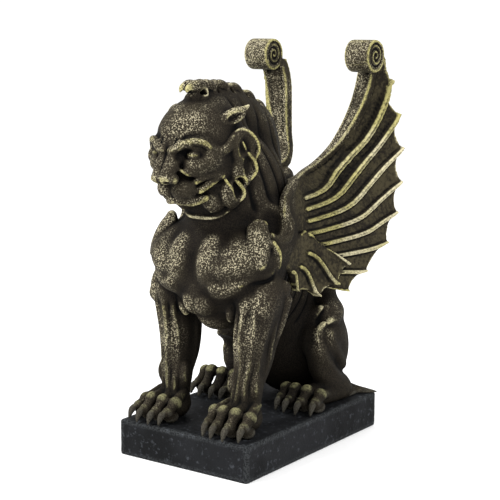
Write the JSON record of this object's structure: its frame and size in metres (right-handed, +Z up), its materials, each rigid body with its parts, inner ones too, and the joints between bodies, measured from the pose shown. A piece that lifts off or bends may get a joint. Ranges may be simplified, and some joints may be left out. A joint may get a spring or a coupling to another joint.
{
  "type": "winged lion statue",
  "caption": "Seated winged lion figure with a curled crest, ribbed bat-like wings that end in scrolls, and carved paws, on a plain rectangular plinth.",
  "frame": {"origin": "centre of the plinth's underside", "axes": "+Z up, the lion looks along -Y, its left side is +X"},
  "size_m": [0.1328, 0.2106, 0.2902],
  "materials": {
    "lion_cast": "cast resin stone, near black in the hollows, dry-brushed with cream and ochre on the raised edges",
    "plinth_cast": "cast resin stone, matte charcoal with fine pits and faintly lighter edges"
  },
  "bodies": {
    "root": {"winged_lion": "lion_cast", "plinth": "plinth_cast"}
  },
  "joints": []
}
